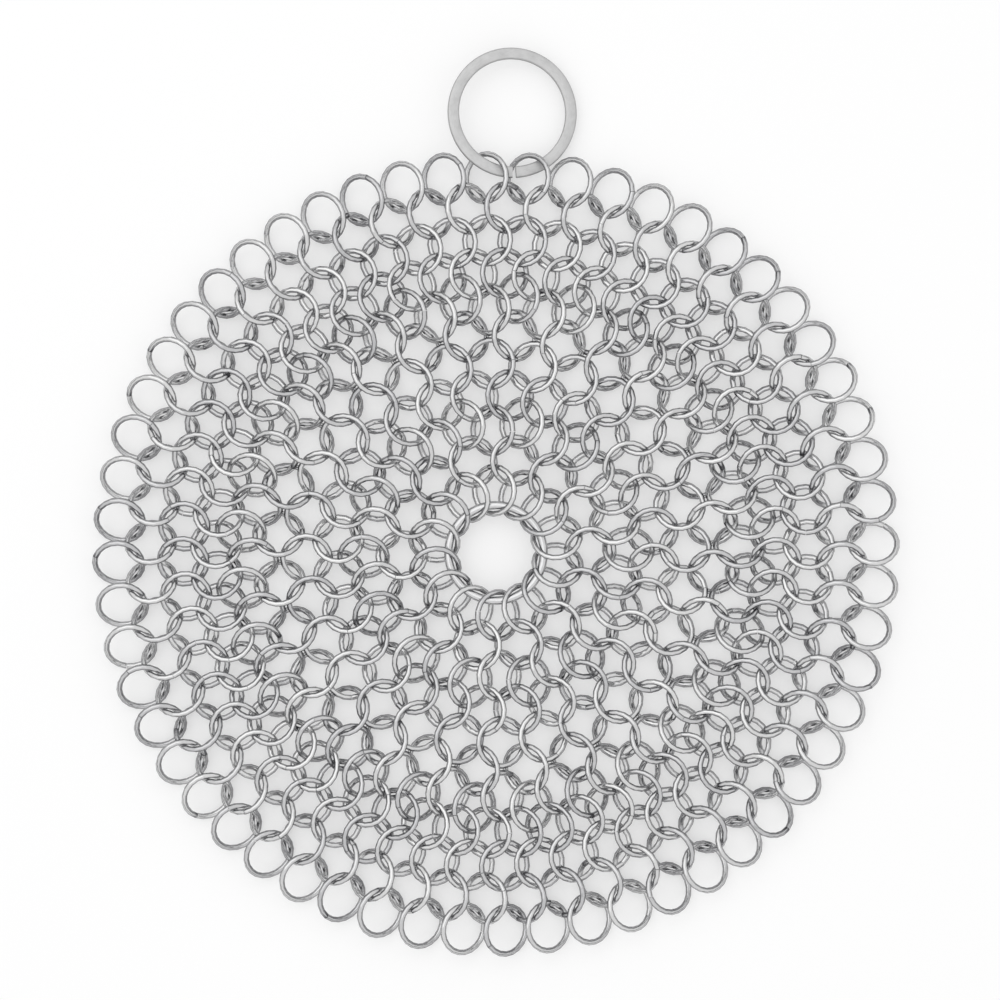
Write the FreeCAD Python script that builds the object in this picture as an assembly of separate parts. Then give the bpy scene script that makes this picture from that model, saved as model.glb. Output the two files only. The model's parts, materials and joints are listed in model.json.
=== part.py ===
import FreeCAD, Part
import math
import os

# Mail rings: round wire, bent to a closed ring
ring_outside_diameter = 11.8
wire_diameter = 1.2508
link_play = 0.2

# Rows from the centre out: rings in each row, and how far the rings of each row lean
row_counts = [14, 14, 28, 28, 28, 28, 56, 56, 56, 56, 56]
row_lean_degrees = [33, 21, 33, 23, 19, 30, 35, 22, 16, 34, 32]
# Where a row has twice the rings, those on one link only go this far from their neighbours' place
single_link_share = 0.8

# Centre ring: thicker round wire
centre_outside_diameter = 23.2
centre_wire_diameter = 1.9
centre_play = 0.35

# Hanging ring: one turn of flat wire with rounded edges and butted ends
hanging_outside_diameter = 29.0
hanging_wire_width = 2.55
hanging_wire_thickness = 1.3
hanging_edge_radius = 0.4
hanging_end_gap = 0.8
hanging_side_shift = 0.7
hanging_play = 0.2
hanging_roll_degrees = [7, 5, 3, 9, 13]
hanging_reach_shares = [0.4, 0.35, 0.3, 0.25, 0.2, 0.15, 0.1, 0.05]

# Carrier rings: the two rim rings that hold the hanging ring
carrier_count = 2
carrier_play = 0.5
steepest_carrier_degrees = 60

# Panels: the mail bends along two rings of lines, past the hub's rows and past the inner panels' rows
sector_count = 14
hub_row_count = 3
inner_panel_row_count = 4
inner_panel_start_share = 0.375
outer_panel_start_share = 0.3125

ring_radius = (ring_outside_diameter - wire_diameter) / 2
centre_radius = (centre_outside_diameter - centre_wire_diameter) / 2
hanging_radius = (hanging_outside_diameter - hanging_wire_width) / 2
sector = 2 * math.pi / sector_count
last_row = len(row_counts) - 1

# Points measured round each ring when a gap is worked out, and the finest step of such a search
gap_sample_count = 120
search_share = 0.001


class Ring:
    """A mail ring: its place round the disc, its distance from the middle and its lean."""

    def __init__(self, angle, distance, lean):
        self.angle = angle
        self.distance = distance
        self.lean = lean
        self.out = FreeCAD.Vector(math.sin(angle), math.cos(angle), 0)
        along = FreeCAD.Vector(math.cos(angle), -math.sin(angle), 0)
        self.side = along * math.cos(lean) + FreeCAD.Vector(0, 0, math.sin(lean))
        self.axis = self.out.cross(self.side)
        self.centre = self.out * distance

    def points(self):
        for step in range(gap_sample_count):
            turn = 2 * math.pi * step / gap_sample_count
            outward = self.out * (ring_radius * math.cos(turn))
            yield self.centre + outward + self.side * (ring_radius * math.sin(turn))

    def solid(self, lift):
        return Part.makeTorus(ring_radius, wire_diameter / 2, self.centre + lift, self.axis)


def ring_gap(ring, other):
    """Least distance between the wires of two mail rings."""
    nearest = math.inf
    for point in ring.points():
        offset = point - other.centre
        height = offset.dot(other.axis)
        flat = (offset - other.axis * height).Length
        nearest = min(nearest, math.hypot(height, flat - ring_radius))
    return nearest - wire_diameter


def row_sign(row):
    """Odd rows have their clockwise side up, even rows the other side."""
    return 1 if row % 2 == 0 else -1


def ring_angle(row, index):
    """Every second row is turned by half a pitch."""
    phase_share = 0.5 * (row % 2)
    return (index + phase_share) * 2 * math.pi / row_counts[row]


def inner_links(inner_row, row, index):
    """The rings of the row inside that this ring passes through."""
    count = len(inner_row)
    if row_counts[row] > count:
        if index % 2:
            return [inner_row[index // 2]]
        return [inner_row[index // 2 - 1], inner_row[index // 2]]
    if row % 2:
        return [inner_row[index], inner_row[(index + 1) % count]]
    return [inner_row[index - 1], inner_row[index]]


def widest_place(angle, lean, links, play):
    """The ring goes out as far as its links let it, less the play."""
    reach = 2 * ring_radius - wire_diameter
    start = max(link.distance for link in links)
    near, far = start + reach / 2, start + reach
    while far - near > search_share * reach:
        middle = (near + far) / 2
        ring = Ring(angle, middle, lean)
        if min(ring_gap(ring, link) for link in links) < play:
            far = middle
        else:
            near = middle
    return Ring(angle, near, lean)


def first_row():
    lean = math.radians(row_lean_degrees[0])
    centre_hole = centre_radius - centre_wire_diameter / 2
    distance = centre_hole - centre_play - wire_diameter / 2 + ring_radius
    return [Ring(ring_angle(0, index), distance, lean) for index in range(row_counts[0])]


def next_row(inner_row, row):
    """Rings that stand alike in every sector share one worked-out distance."""
    lean = row_sign(row) * math.radians(row_lean_degrees[row])
    per_sector = row_counts[row] // sector_count
    distances = []
    for index in range(per_sector):
        links = inner_links(inner_row, row, index)
        distance = widest_place(ring_angle(row, index), lean, links, link_play).distance
        if len(links) == 1:
            distance = distances[-1] + single_link_share * (distance - distances[-1])
        distances.append(distance)
    rings = []
    for index in range(row_counts[row]):
        rings.append(Ring(ring_angle(row, index), distances[index % per_sector], lean))
    return rings


def hanging_frame(carrier_distance, reach_share, roll_degrees):
    """Middle and tilt of the hanging ring, whose lower side lies just past the carriers' middles."""
    heading = ring_angle(last_row, 1) / 2
    out = FreeCAD.Vector(math.sin(heading), math.cos(heading), 0)
    along = FreeCAD.Vector(math.cos(heading), -math.sin(heading), 0)
    turned = FreeCAD.Rotation(FreeCAD.Vector(0, 0, 1), -math.degrees(heading))
    rolled = FreeCAD.Rotation(out, roll_degrees)
    reach = carrier_distance + reach_share * ring_radius
    lowest = out * reach + along * hanging_side_shift
    middle = lowest + out * hanging_radius
    return FreeCAD.Placement(middle, rolled.multiply(turned))


def flat_wire_gap(ring, placement):
    """Least distance between a mail ring's wire and the hanging ring's rounded flat wire."""
    back = placement.inverse()
    half_width = hanging_wire_width / 2 - hanging_edge_radius
    half_thickness = hanging_wire_thickness / 2 - hanging_edge_radius
    nearest = math.inf
    for point in ring.points():
        local = back.multVec(point)
        across = abs(math.hypot(local.x, local.y) - hanging_radius) - half_width
        above = abs(local.z) - half_thickness
        outside = math.hypot(max(across, 0), max(above, 0))
        inside = min(max(across, above), 0)
        nearest = min(nearest, outside + inside)
    return nearest - hanging_edge_radius - wire_diameter / 2


def carriers_and_hanging_place(inner_row, rim_row):
    """The carriers lean just far enough for the flat wire to pass them and their neighbours."""
    neighbours = [rim_row[-1], rim_row[carrier_count], inner_row[-1]] + inner_row[:carrier_count]
    lean_degrees = row_lean_degrees[last_row]
    widest = -math.inf
    while lean_degrees <= steepest_carrier_degrees and widest < hanging_play:
        lean = math.radians(lean_degrees)
        carriers = []
        for index in range(carrier_count):
            links = inner_links(inner_row, last_row, index)
            angle = ring_angle(last_row, index)
            carriers.append(widest_place(angle, lean, links, carrier_play))
        for roll_degrees in hanging_roll_degrees:
            for reach_share in hanging_reach_shares:
                placement = hanging_frame(carriers[0].distance, reach_share, roll_degrees)
                gap = min(flat_wire_gap(ring, placement) for ring in carriers + neighbours)
                if gap > widest and widest < hanging_play:
                    widest, chosen = gap, (carriers, placement)
        lean_degrees += 1
    return chosen


def centre_ring(lift):
    return Part.makeTorus(centre_radius, centre_wire_diameter / 2, lift, FreeCAD.Vector(0, 0, 1))


def hanging_ring(placement, lift):
    """A rounded flat section turned round the ring's axis, short of a full turn by the end gap."""
    inside = hanging_radius - hanging_wire_width / 2
    bottom = -hanging_wire_thickness / 2
    block = Part.makeBox(hanging_wire_width, hanging_wire_width, hanging_wire_thickness,
                         FreeCAD.Vector(inside, 0, bottom))
    long_edges = []
    for edge in block.Edges:
        direction = edge.tangentAt(edge.FirstParameter)
        if abs(direction.y) > abs(direction.x) + abs(direction.z):
            long_edges.append(edge)
    rounded = block.makeFillet(hanging_edge_radius, long_edges)
    section = min(rounded.Faces, key=lambda face: face.CenterOfMass.y)
    gap_turn = math.degrees(hanging_end_gap / hanging_radius)
    up = FreeCAD.Vector(0, 0, 1)
    turned = section.revolve(FreeCAD.Vector(0, 0, 0), up, 360 - gap_turn)
    turned.rotate(FreeCAD.Vector(0, 0, 0), up, -90 + gap_turn / 2)
    raised = FreeCAD.Placement(placement.Base + lift, placement.Rotation)
    turned.Placement = raised.multiply(turned.Placement)
    return turned


def panel_of(row, index, start_share):
    """Number of the sector panel that holds a ring, counted clockwise from the hanging ring."""
    turn = ring_angle(row, index) / sector + start_share
    return math.floor(turn) % sector_count


def write(name, solids):
    shape = solids[0] if len(solids) == 1 else Part.makeCompound(solids)
    shape.exportStep(os.path.join("parts", name + ".step"))


def panel_groups(rows, lift):
    """Rings of the outer rows, gathered into the panels that bend as one."""
    groups = {}
    for row in range(hub_row_count, len(rows)):
        outer = row >= hub_row_count + inner_panel_row_count
        place = "outer" if outer else "inner"
        start_share = outer_panel_start_share if outer else inner_panel_start_share
        for index, ring in enumerate(rows[row]):
            if row == last_row and index < carrier_count:
                continue
            panel = panel_of(row, index, start_share)
            name = f"{place}_panel_{panel + 1:02d}_rings"
            groups.setdefault(name, []).append(ring.solid(lift))
    return groups


def main():
    os.makedirs("parts", exist_ok=True)
    rows = [first_row()]
    for row in range(1, len(row_counts)):
        rows.append(next_row(rows[-1], row))
    carriers, hanging_place = carriers_and_hanging_place(rows[last_row - 1], rows[last_row])
    steepest = max(abs(ring.lean) for ring in [row[0] for row in rows] + carriers)
    middle_height = ring_radius * math.sin(steepest) + wire_diameter / 2
    lift = FreeCAD.Vector(0, 0, middle_height)

    write("centre_ring", [centre_ring(lift)])
    for row in range(hub_row_count):
        write(f"row_{row + 1}_rings", [ring.solid(lift) for ring in rows[row]])
    for name, solids in panel_groups(rows, lift).items():
        write(name, solids)
    write("left_carrier_ring", [carriers[0].solid(lift)])
    write("right_carrier_ring", [carriers[1].solid(lift)])
    write("hanging_ring", [hanging_ring(hanging_place, lift)])

    for number, row in enumerate(rows, 1):
        distances = [ring.distance for ring in row]
        print(f"row {number}: {len(row)} rings, {min(distances):.3f} to {max(distances):.3f} mm out")
    rim = rows[last_row][0].distance + ring_outside_diameter / 2
    print(f"disc {2 * rim:.2f} mm across, middle {middle_height:.3f} mm up")
    print(f"carriers {carriers[0].distance:.3f} mm out, lean {math.degrees(carriers[0].lean):.0f}")
    print("hanging ring middle", hanging_place.Base + lift)


main()
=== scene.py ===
import json
import math

import bpy
import numpy as np
from mathutils import Matrix, Vector

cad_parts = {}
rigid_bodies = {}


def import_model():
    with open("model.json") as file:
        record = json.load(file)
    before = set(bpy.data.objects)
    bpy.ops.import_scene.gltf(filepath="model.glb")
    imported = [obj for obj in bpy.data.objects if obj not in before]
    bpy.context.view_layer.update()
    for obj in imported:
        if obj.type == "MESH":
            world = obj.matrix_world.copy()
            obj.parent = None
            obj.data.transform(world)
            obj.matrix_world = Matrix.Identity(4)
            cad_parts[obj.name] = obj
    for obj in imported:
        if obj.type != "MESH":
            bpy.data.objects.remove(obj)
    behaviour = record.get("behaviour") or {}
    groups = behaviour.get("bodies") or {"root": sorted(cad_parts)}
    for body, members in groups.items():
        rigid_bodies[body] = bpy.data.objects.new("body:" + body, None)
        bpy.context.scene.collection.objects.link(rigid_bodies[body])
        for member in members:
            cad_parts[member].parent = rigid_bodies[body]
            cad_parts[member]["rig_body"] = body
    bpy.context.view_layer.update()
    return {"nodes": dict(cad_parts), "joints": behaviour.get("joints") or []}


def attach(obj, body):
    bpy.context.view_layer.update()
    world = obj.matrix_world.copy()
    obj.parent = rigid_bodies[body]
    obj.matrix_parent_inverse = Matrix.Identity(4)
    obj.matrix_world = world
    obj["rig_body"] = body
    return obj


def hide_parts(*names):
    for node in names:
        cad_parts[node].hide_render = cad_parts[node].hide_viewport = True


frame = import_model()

# Sizes are in metres. The places and tilts of all rings are taken from the frame.

# Mail rings: round wire in a light mesh, its ends a hairline apart and a little out of line
MAIL_WIRE = 0.00125
MAIL_RADIUS = 0.005275
MAIL_SEAM = 0.00013
MAIL_TWIST = 0.00004
MAIL_SIDES = 5
MAIL_STEPS = 20
MAIL_CORNER_SHARE = 0.525
MAIL_SMOOTH = math.radians(80)

# How many mail rings a CAD node holds. The first outer panel leaves out the two carriers.
HUB_ROW_RINGS = {"row_1_rings": 14, "row_2_rings": 14, "row_3_rings": 28}
INNER_PANEL_RINGS = 10
OUTER_PANEL_RINGS = 16
CARRIER_RINGS = 2

# Seams and shades are spread over the rings by the golden section, so that no two neighbours look alike.
SEAM_STEP = math.pi * (3 - math.sqrt(5))
SHADE_STEP = 0.618034

# Centre ring: thicker round wire
CENTRE_WIRE = 0.0019
CENTRE_RADIUS = 0.01065
CENTRE_SEAM = 0.00008
CENTRE_SIDES = 14
CENTRE_STEPS = 72
CENTRE_SMOOTH = math.radians(60)
CENTRE_SEAM_TURN = 0.4

# Hanging ring: one turn of flat wire with rolled edges
BAND_WIDTH = 0.00255
BAND_THICKNESS = 0.0013
BAND_EDGE = 0.0004
BAND_EDGE_STEPS = 4
BAND_RADIUS = 0.013225
BAND_GAP = 0.0008
BAND_STEPS = 120
BAND_SMOOTH = math.radians(40)

MERGE_DISTANCE = 1e-6

# Finish: the noise of the drawn lines and scuffs, how it is mixed and spread, and its depth in the metal
LINE_STRETCH = (1.2, 1.0, 1.0)
LINE_DETAIL = 3
SCUFF_DETAIL = 4
SCUFF_SHARE = 0.45
NOISE_LOW = 0.32
NOISE_HIGH = 0.68
SCUFF_DEPTH = 0.00002
SCUFF_STRENGTH = 0.25

# Finish and painted flank shade: how far a side must face up or down to be clear of the painted shade, and
# where its shades lie from the shaded flank to the metal's own dark and bright tones
SHADE_FADE_START = 0.2
SHADE_FADE_END = 0.6
DARK_SHARE = 0.25
BRIGHT_SHARE = 0.75
RING_SHADE_SHARE = 0.5

# Floor, and the share of plain white in what the camera and the metal see of it
FLOOR_SIZE = 16
FLOOR_HEIGHT = -0.0001
FLOOR_COLOUR = (0.95, 0.95, 0.95, 1)
FLOOR_ROUGHNESS = 0.9
FLOOR_WHITE = 0.42

# Sky: dark at the horizon and white from less than half way up
SKY_DARK = (0.02, 0.02, 0.021, 1)
SKY_DARK_SHARE = 0.03
SKY_WHITE_SHARE = 0.42

LAMP_SIZE = 1.25
LAMP_POWER = 1.9
LAMP_PLACE = (-0.3, 0.32, 1.1)

# Camera: straight above. Lens and sensor are in millimetres.
LENS = 85
SENSOR = 36
VIEW_WIDTH = 0.22305
VIEW_MIDDLE = (0.0009, 0.0118)
VIEW_ROLL = math.radians(-1.5)
DISC_MIDDLE_HEIGHT = 0.00365


def select_only(*objects):
    bpy.ops.object.select_all(action="DESELECT")
    for piece in objects:
        piece.select_set(True)
    bpy.context.view_layer.objects.active = objects[0]


def bend_to_ring(name, radius, gap, steps):
    """Turns the active upright wire section round Z, short of a full turn by the gap between its ends."""
    ring = bpy.context.object
    ring.name = name
    select_only(ring)
    bpy.ops.object.transform_apply(location=True, rotation=True, scale=True)
    open_angle = gap / radius
    bpy.ops.object.mode_set(mode="EDIT")
    bpy.ops.mesh.select_all(action="SELECT")
    bpy.ops.transform.rotate(value=-open_angle / 2, orient_axis="Z", center_override=(0, 0, 0))
    bpy.ops.mesh.spin(steps=steps, angle=math.tau - open_angle, center=(0, 0, 0), axis=(0, 0, 1))
    bpy.ops.mesh.select_all(action="SELECT")
    bpy.ops.mesh.remove_doubles(threshold=MERGE_DISTANCE)
    bpy.ops.mesh.normals_make_consistent(inside=False)
    bpy.ops.object.mode_set(mode="OBJECT")
    return ring


def lay_wire_lines(ring, radius):
    """UV along the wire and round it, for the lines that drawing leaves on the metal."""
    mesh = ring.data
    layer = mesh.uv_layers.new(name="wire")
    for face in mesh.polygons:
        first = None
        for loop in face.loop_indices:
            x, y, z = mesh.vertices[mesh.loops[loop].vertex_index].co
            along = math.atan2(y, x) / math.tau
            around = math.atan2(z, math.hypot(x, y) - radius) / math.tau
            if first is None:
                first = (along, around)
            along += round(first[0] - along)
            around += round(first[1] - around)
            layer.data[loop].uv = (along, around)


def mark_sides(mesh):
    """Keeps which way the surface faces, so that painted shade can be put on the flanks and kept off the
    upper and lower sides.
    """
    facing = [part for normal in mesh.vertex_normals for part in normal.vector]
    side = mesh.attributes.new("side", "FLOAT_VECTOR", "POINT")
    side.data.foreach_set("vector", facing)


def mail_ring():
    """One light mail ring: its corners lie about as far outside the round shape as its straights inside."""
    radius = MAIL_RADIUS * (3 - math.cos(math.pi / MAIL_STEPS)) / 2
    bpy.ops.mesh.primitive_circle_add(vertices=MAIL_SIDES, radius=MAIL_WIRE * MAIL_CORNER_SHARE,
                                      fill_type="NGON", location=(radius, 0, 0),
                                      rotation=(math.pi / 2, 0, 0))
    ring = bend_to_ring("mail_ring", radius, MAIL_SEAM, MAIL_STEPS)
    lay_wire_lines(ring, radius)
    for vertex in ring.data.vertices:
        turn = math.atan2(vertex.co.y, vertex.co.x) % math.tau
        vertex.co.z += MAIL_TWIST * (turn / math.tau - 0.5)
    select_only(ring)
    bpy.ops.object.shade_smooth_by_angle(angle=MAIL_SMOOTH)
    return ring


def mail_rings_in(node):
    if node.startswith("inner_panel"):
        return INNER_PANEL_RINGS
    if node == "outer_panel_01_rings":
        return OUTER_PANEL_RINGS - CARRIER_RINGS
    if node.startswith("outer_panel"):
        return OUTER_PANEL_RINGS
    return HUB_ROW_RINGS.get(node, 1)


def places_of(node, count):
    """Middle and axis of each ring in a CAD node, read off its mesh ring by ring."""
    mesh = frame["nodes"][node].data
    corners = np.zeros(len(mesh.vertices) * 3, np.float32)
    mesh.vertices.foreach_get("co", corners)
    for points in corners.reshape(count, -1, 3).astype(float):
        rough = points.mean(0)
        directions = np.linalg.svd(points - rough, full_matrices=False)[2]
        along = (points - rough) @ directions.T
        middle = rough + (along.min(0) + along.max(0)) / 2 @ directions
        axis = Vector(directions[2])
        yield Vector(middle), axis if axis.z > 0 else -axis


def stand(middle, axis, seam):
    """The place of a ring whose seam points a given way in its own plane."""
    seam = (seam - axis * seam.dot(axis)).normalized()
    across = axis.cross(seam)
    turn = Matrix((seam, across, axis)).transposed().to_4x4()
    return Matrix.Translation(middle) @ turn


def mail_patch(pattern, node, body, count, first_number):
    """All mail rings of one node, copied from the pattern ring and joined."""
    copies = []
    for number, (middle, axis) in enumerate(places_of(node, count), first_number):
        out = Vector((middle.x, middle.y, 0)).normalized()
        seam = Matrix.Rotation(number * SEAM_STEP, 3, axis) @ out
        mesh = pattern.data.copy()
        mesh.transform(stand(middle, axis, seam))
        mark_sides(mesh)
        tone = mesh.attributes.new("ring_tone", "FLOAT", "POINT")
        tone.data.foreach_set("value", [number * SHADE_STEP % 1] * len(mesh.vertices))
        copy = bpy.data.objects.new("ring", mesh)
        bpy.context.scene.collection.objects.link(copy)
        copies.append(copy)
    select_only(*copies)
    if len(copies) > 1:
        bpy.ops.object.join()
    patch = copies[0]
    patch.name = node.replace("_rings", "_mail").replace("_ring", "_mail")
    patch.data.name = patch.name
    patch.data.materials.clear()
    patch.data.materials.append(mail_steel)
    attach(patch, body)
    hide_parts(node)


def mail():
    """Every node of mail rings, numbered through from the first ring to the last."""
    pattern = mail_ring()
    ring_number = 0
    for node in sorted(frame["nodes"]):
        if node in ("centre_ring", "hanging_ring"):
            continue
        count = mail_rings_in(node)
        mail_patch(pattern, node, frame["nodes"][node]["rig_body"], count, ring_number)
        ring_number += count
    bpy.data.objects.remove(pattern)


def centre_ring():
    bpy.ops.mesh.primitive_circle_add(vertices=CENTRE_SIDES, radius=CENTRE_WIRE / 2, fill_type="NGON",
                                      location=(CENTRE_RADIUS, 0, 0), rotation=(math.pi / 2, 0, 0))
    ring = bend_to_ring("centre_wire_ring", CENTRE_RADIUS, CENTRE_SEAM, CENTRE_STEPS)
    lay_wire_lines(ring, CENTRE_RADIUS)
    middle, axis = next(places_of("centre_ring", 1))
    seam = Vector((math.cos(CENTRE_SEAM_TURN), math.sin(CENTRE_SEAM_TURN), 0))
    ring.data.transform(stand(middle, axis, seam))
    mark_sides(ring.data)
    select_only(ring)
    bpy.ops.object.shade_smooth_by_angle(angle=CENTRE_SMOOTH)
    ring.data.materials.append(centre_steel)
    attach(ring, "hub")
    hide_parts("centre_ring")


def hanging_band():
    """One turn of flat wire with rolled edges; its two cut ends face each other over a gap."""
    bpy.ops.mesh.primitive_plane_add(size=1, location=(BAND_RADIUS, 0, 0), rotation=(math.pi / 2, 0, 0))
    section = bpy.context.object
    section.scale = (BAND_WIDTH, BAND_THICKNESS, 1)
    select_only(section)
    bpy.ops.object.transform_apply(location=False, rotation=False, scale=True)
    bpy.ops.object.mode_set(mode="EDIT")
    bpy.ops.mesh.select_all(action="SELECT")
    bpy.ops.mesh.bevel(offset=BAND_EDGE, segments=BAND_EDGE_STEPS, affect="VERTICES")
    bpy.ops.object.mode_set(mode="OBJECT")
    band = bend_to_ring("hanging_band", BAND_RADIUS, BAND_GAP, BAND_STEPS)
    lay_wire_lines(band, BAND_RADIUS)
    swing = next(joint for joint in frame["joints"] if joint["name"] == "hanging_swing")
    inward = Vector((swing["axis"][1], -swing["axis"][0], 0))
    middle, axis = next(places_of("hanging_ring", 1))
    band.data.transform(stand(middle, axis, inward))
    mark_sides(band.data)
    outer_end = max(band.data.vertices, key=lambda vertex: -vertex.co.dot(inward) - vertex.co.z)
    band.vertex_groups.new(name="outer_end").add([outer_end.index], 1, "REPLACE")
    select_only(band)
    bpy.ops.object.shade_smooth_by_angle(angle=BAND_SMOOTH)
    band.data.materials.append(band_steel)
    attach(band, "hanging_ring")
    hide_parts("hanging_ring")
    return band


def drawn_wire_group():
    """Lines along the wire and small scuffs, and a mask that is 1 on the upper and lower sides and 0 on the
    flanks, where shade is painted into the colour.
    """
    group = bpy.data.node_groups.new("drawn_wire", "ShaderNodeTree")
    for name in ("Wire", "Place", "Side"):
        group.interface.new_socket(name, in_out="INPUT", socket_type="NodeSocketVector")
    for name in ("Lines", "Scuffs", "Smooth", "Rough"):
        group.interface.new_socket(name, in_out="INPUT", socket_type="NodeSocketFloat")
    for name in ("Tone", "Unshaded", "Roughness", "Height"):
        group.interface.new_socket(name, in_out="OUTPUT", socket_type="NodeSocketFloat")
    nodes, links = group.nodes, group.links
    given, made = nodes.new("NodeGroupInput"), nodes.new("NodeGroupOutput")
    stretch = nodes.new("ShaderNodeVectorMath")
    stretch.operation = "MULTIPLY"
    stretch.inputs[1].default_value = LINE_STRETCH
    lines = nodes.new("ShaderNodeTexNoise")
    lines.inputs["Detail"].default_value = LINE_DETAIL
    scuffs = nodes.new("ShaderNodeTexNoise")
    scuffs.inputs["Detail"].default_value = SCUFF_DETAIL
    blend = nodes.new("ShaderNodeMix")
    blend.data_type = "FLOAT"
    blend.inputs["Factor"].default_value = SCUFF_SHARE
    spread = nodes.new("ShaderNodeMapRange")
    spread.inputs["From Min"].default_value = NOISE_LOW
    spread.inputs["From Max"].default_value = NOISE_HIGH
    links.new(given.outputs["Wire"], stretch.inputs[0])
    links.new(stretch.outputs[0], lines.inputs["Vector"])
    links.new(given.outputs["Lines"], lines.inputs["Scale"])
    links.new(given.outputs["Place"], scuffs.inputs["Vector"])
    links.new(given.outputs["Scuffs"], scuffs.inputs["Scale"])
    links.new(lines.outputs["Fac"], blend.inputs["A"])
    links.new(scuffs.outputs["Fac"], blend.inputs["B"])
    links.new(blend.outputs["Result"], spread.inputs["Value"])
    links.new(given.outputs["Smooth"], spread.inputs["To Min"])
    links.new(given.outputs["Rough"], spread.inputs["To Max"])
    # Painted shade mask: 1 where the surface faces up or down, falling to 0 on the flanks, which are
    # painted darker.
    upright = nodes.new("ShaderNodeSeparateXYZ")
    face = nodes.new("ShaderNodeMath")
    face.operation = "ABSOLUTE"
    unshaded_share = nodes.new("ShaderNodeMapRange")
    unshaded_share.inputs["From Min"].default_value = SHADE_FADE_START
    unshaded_share.inputs["From Max"].default_value = SHADE_FADE_END
    links.new(given.outputs["Side"], upright.inputs[0])
    links.new(upright.outputs["Z"], face.inputs[0])
    links.new(face.outputs[0], unshaded_share.inputs["Value"])
    links.new(unshaded_share.outputs["Result"], made.inputs["Unshaded"])
    links.new(blend.outputs["Result"], made.inputs["Tone"])
    links.new(spread.outputs["Result"], made.inputs["Roughness"])
    links.new(blend.outputs["Result"], made.inputs["Height"])
    return group


def steel(name, painted_flank_shade, dark, bright, smooth, rough, lines, scuffs, by_ring):
    """Stainless wire: nearly neutral, with painted shade on its flanks, darker in its scuffs, a shade apart
    by ring.
    """
    material = bpy.data.materials.new(name)
    material.use_nodes = True
    nodes, links = material.node_tree.nodes, material.node_tree.links
    surface = nodes["Principled BSDF"]
    surface.inputs["Metallic"].default_value = 1.0
    place = nodes.new("ShaderNodeTexCoord")
    wire = nodes.new("ShaderNodeUVMap")
    wire.uv_map = "wire"
    side = nodes.new("ShaderNodeAttribute")
    side.attribute_name = "side"
    drawn = nodes.new("ShaderNodeGroup")
    drawn.node_tree = drawn_wire
    drawn.inputs["Lines"].default_value = lines
    drawn.inputs["Scuffs"].default_value = scuffs
    drawn.inputs["Smooth"].default_value = smooth
    drawn.inputs["Rough"].default_value = rough
    links.new(wire.outputs["UV"], drawn.inputs["Wire"])
    links.new(place.outputs["Object"], drawn.inputs["Place"])
    links.new(side.outputs["Vector"], drawn.inputs["Side"])
    # The first stop of this ramp is painted shade: the flanks of the wire take its dark flank colour.
    shade = nodes.new("ShaderNodeValToRGB")
    shade.color_ramp.elements[0].color = (*painted_flank_shade, 1)
    shade.color_ramp.elements[1].position = BRIGHT_SHARE
    shade.color_ramp.elements[1].color = (*bright, 1)
    shade.color_ramp.elements.new(DARK_SHARE).color = (*dark, 1)
    tone = drawn.outputs["Tone"]
    if by_ring:
        apart = nodes.new("ShaderNodeAttribute")
        apart.attribute_name = "ring_tone"
        mixed = nodes.new("ShaderNodeMix")
        mixed.data_type = "FLOAT"
        mixed.inputs["Factor"].default_value = RING_SHADE_SHARE
        links.new(tone, mixed.inputs["A"])
        links.new(apart.outputs["Fac"], mixed.inputs["B"])
        tone = mixed.outputs["Result"]
    # Painted shade: the tone is pulled down to the flank colour where the surface faces sideways.
    shaded_tone = nodes.new("ShaderNodeMath")
    shaded_tone.operation = "MULTIPLY"
    links.new(tone, shaded_tone.inputs[0])
    links.new(drawn.outputs["Unshaded"], shaded_tone.inputs[1])
    links.new(shaded_tone.outputs[0], shade.inputs["Fac"])
    links.new(shade.outputs["Color"], surface.inputs["Base Color"])
    links.new(drawn.outputs["Roughness"], surface.inputs["Roughness"])
    bump = nodes.new("ShaderNodeBump")
    bump.inputs["Strength"].default_value = SCUFF_STRENGTH
    bump.inputs["Distance"].default_value = SCUFF_DEPTH
    links.new(drawn.outputs["Height"], bump.inputs["Height"])
    links.new(bump.outputs["Normal"], surface.inputs["Normal"])
    return material


def floor_finish():
    """Pale and matt, with a share of plain white for the camera and for what the metal mirrors."""
    material = bpy.data.materials.new("pale_floor")
    material.use_nodes = True
    nodes, links = material.node_tree.nodes, material.node_tree.links
    surface = nodes["Principled BSDF"]
    surface.inputs["Base Color"].default_value = FLOOR_COLOUR
    surface.inputs["Roughness"].default_value = FLOOR_ROUGHNESS
    surface.inputs["Specular IOR Level"].default_value = 0
    white = nodes.new("ShaderNodeEmission")
    white.inputs["Color"].default_value = (1, 1, 1, 1)
    seen = nodes.new("ShaderNodeLightPath")
    either = nodes.new("ShaderNodeMath")
    either.operation = "MAXIMUM"
    every = nodes.new("ShaderNodeMath")
    every.operation = "MAXIMUM"
    share = nodes.new("ShaderNodeMath")
    share.operation = "MULTIPLY"
    share.inputs[1].default_value = FLOOR_WHITE
    mix = nodes.new("ShaderNodeMixShader")
    links.new(seen.outputs["Is Camera Ray"], either.inputs[0])
    links.new(seen.outputs["Is Glossy Ray"], either.inputs[1])
    links.new(either.outputs[0], every.inputs[0])
    links.new(seen.outputs["Is Transmission Ray"], every.inputs[1])
    links.new(every.outputs[0], share.inputs[0])
    links.new(share.outputs[0], mix.inputs["Fac"])
    links.new(surface.outputs["BSDF"], mix.inputs[1])
    links.new(white.outputs["Emission"], mix.inputs[2])
    links.new(mix.outputs["Shader"], nodes["Material Output"].inputs["Surface"])
    return material


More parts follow.
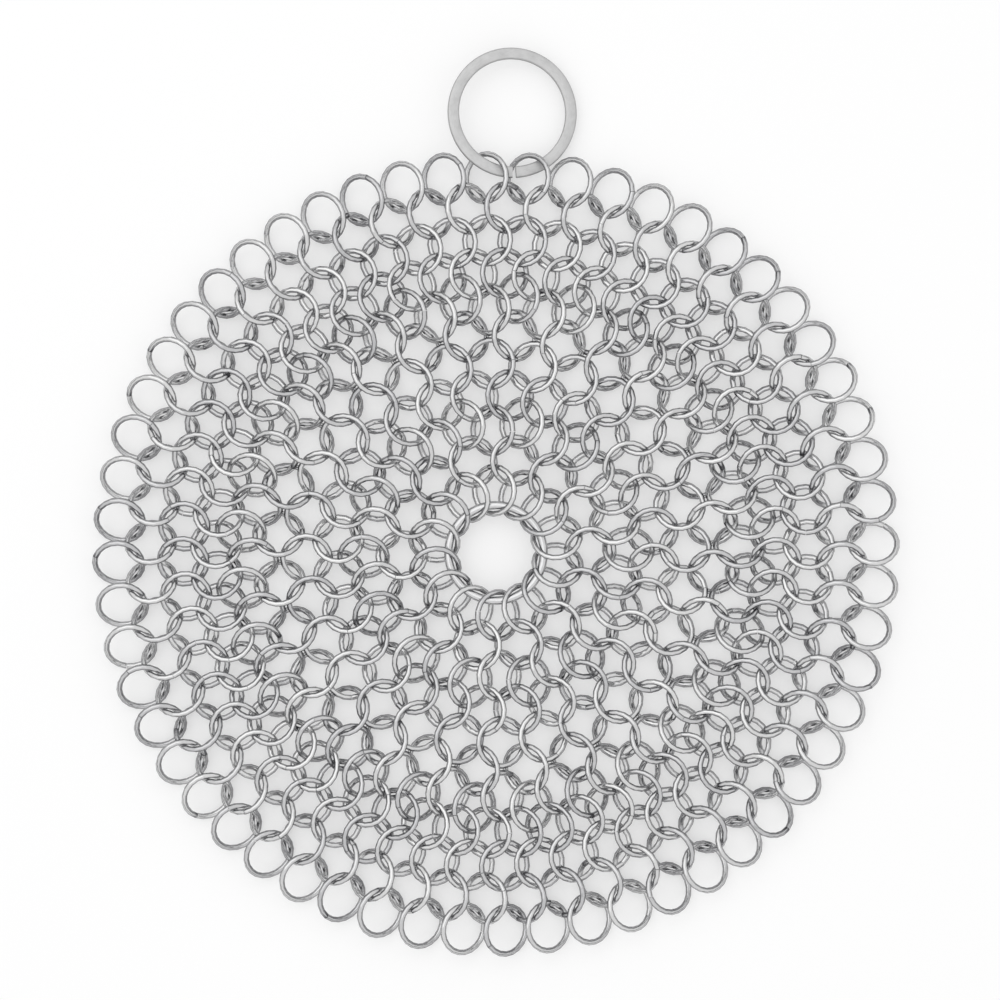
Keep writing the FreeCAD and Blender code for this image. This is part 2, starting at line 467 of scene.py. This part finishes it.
def pale_floor(band):
    """The floor lies under the disc, and under the hanging band's outer end where the disc bends down."""
    bpy.ops.mesh.primitive_plane_add(size=FLOOR_SIZE, location=(0, 0, FLOOR_HEIGHT))
    floor = bpy.context.object
    floor.name = "floor"
    follow = floor.constraints.new("COPY_LOCATION")
    follow.target = band
    follow.subtarget = "outer_end"
    follow.use_x = False
    follow.use_y = False
    highest = floor.constraints.new("LIMIT_LOCATION")
    highest.use_max_z = True
    highest.max_z = FLOOR_HEIGHT
    floor.data.materials.append(floor_finish())


def studio():
    """A bright sky that falls off towards the horizon, and one soft lamp from the upper left."""
    world = bpy.data.worlds.new("studio")
    bpy.context.scene.world = world
    world.use_nodes = True
    nodes, links = world.node_tree.nodes, world.node_tree.links
    way = nodes.new("ShaderNodeTexCoord")
    split = nodes.new("ShaderNodeSeparateXYZ")
    fall = nodes.new("ShaderNodeValToRGB")
    fall.color_ramp.interpolation = "EASE"
    fall.color_ramp.elements[0].position = SKY_DARK_SHARE
    fall.color_ramp.elements[0].color = SKY_DARK
    fall.color_ramp.elements[1].position = SKY_WHITE_SHARE
    fall.color_ramp.elements[1].color = (1.0, 1.0, 1.0, 1)
    links.new(way.outputs["Generated"], split.inputs[0])
    links.new(split.outputs["Z"], fall.inputs["Fac"])
    links.new(fall.outputs["Color"], nodes["Background"].inputs["Color"])
    lamp = bpy.data.lights.new("soft_lamp", "AREA")
    lamp.shape = "DISK"
    lamp.size = LAMP_SIZE
    lamp.energy = LAMP_POWER
    holder = bpy.data.objects.new("soft_lamp", lamp)
    holder.location = LAMP_PLACE
    holder.rotation_euler = (-holder.location).to_track_quat("-Z", "Y").to_euler()
    bpy.context.scene.collection.objects.link(holder)


def camera():
    """Straight above, with the disc where the photograph has it."""
    lens = bpy.data.cameras.new("camera")
    lens.lens = LENS
    lens.sensor_width = SENSOR
    holder = bpy.data.objects.new("camera", lens)
    height = VIEW_WIDTH / 2 / (lens.sensor_width / 2 / lens.lens)
    place = Vector((*VIEW_MIDDLE, DISC_MIDDLE_HEIGHT + height))
    holder.location = Matrix.Rotation(VIEW_ROLL, 3, "Z") @ place
    holder.rotation_euler = (0, 0, VIEW_ROLL)
    bpy.context.scene.collection.objects.link(holder)
    bpy.context.scene.camera = holder


bpy.context.scene.view_settings.view_transform = "Standard"

drawn_wire = drawn_wire_group()
# Each steel has painted shade on its flanks through its flank colour.
mail_steel = steel(
    "mail_steel", painted_flank_shade=(0.13, 0.13, 0.14), dark=(0.51, 0.51, 0.52), bright=(0.68, 0.68, 0.68),
    smooth=0.1, rough=0.26, lines=18, scuffs=900, by_ring=True)
centre_steel = steel(
    "centre_steel", painted_flank_shade=(0.20, 0.20, 0.21), dark=(0.54, 0.54, 0.55), bright=(0.70, 0.70, 0.70),
    smooth=0.14, rough=0.3, lines=40, scuffs=600, by_ring=False)
band_steel = steel(
    "band_steel", painted_flank_shade=(0.36, 0.36, 0.36), dark=(0.42, 0.42, 0.42), bright=(0.66, 0.66, 0.66),
    smooth=0.42, rough=0.55, lines=60, scuffs=500, by_ring=False)

mail()
centre_ring()
band = hanging_band()

pale_floor(band)
studio()
camera()
